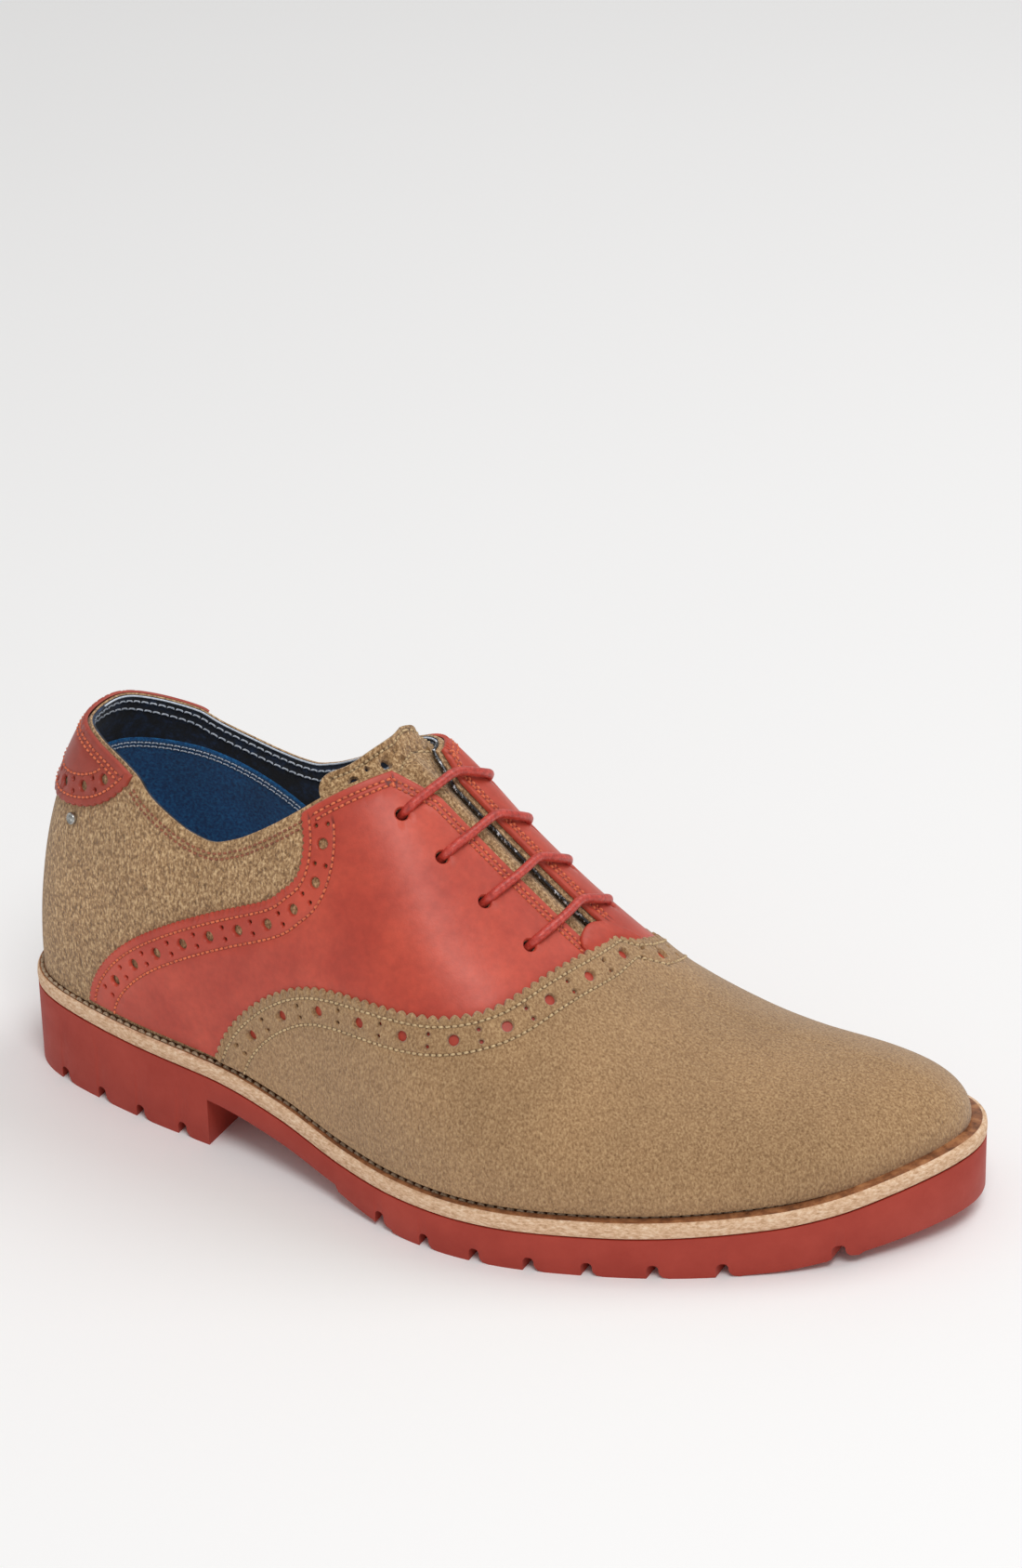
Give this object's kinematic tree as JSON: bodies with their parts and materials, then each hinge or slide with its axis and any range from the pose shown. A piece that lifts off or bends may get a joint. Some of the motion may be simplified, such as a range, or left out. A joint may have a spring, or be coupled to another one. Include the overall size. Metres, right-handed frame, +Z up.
{
  "type": "saddle shoe",
  "caption": "Right lace-up saddle shoe: hollow suede upper, leather saddle with punched eyelets, welt and one-piece rubber sole with a heel block and lugs.",
  "frame": {"origin": "bottom centre of the shoe's bounding box, on the floor", "axes": "+X from heel to toe, +Y to the inner side of a right foot, +Z up"},
  "size_m": [0.303, 0.1165, 0.1289],
  "materials": {
    "suede": "tan suede",
    "red_leather": "smooth red leather, slightly waxed",
    "red_rubber": "matt red rubber",
    "natural_leather": "natural edge",
    "blue_lining": "blue suede",
    "lace": "waxed cotton",
    "pewter": "aged metal"
  },
  "bodies": {
    "root": {"outsole": "red_rubber", "welt": "natural_leather", "insole": "blue_lining", "upper": "suede", "vamp": "suede", "saddle_outer": "red_leather", "saddle_inner": "red_leather", "heel_patch": "red_leather", "tongue": "suede", "throat_tab": "red_leather", "lace_bar_1": "lace", "lace_bar_2": "lace", "lace_bar_3": "lace", "lace_bar_4": "lace", "rivet": "pewter"}
  },
  "joints": []
}
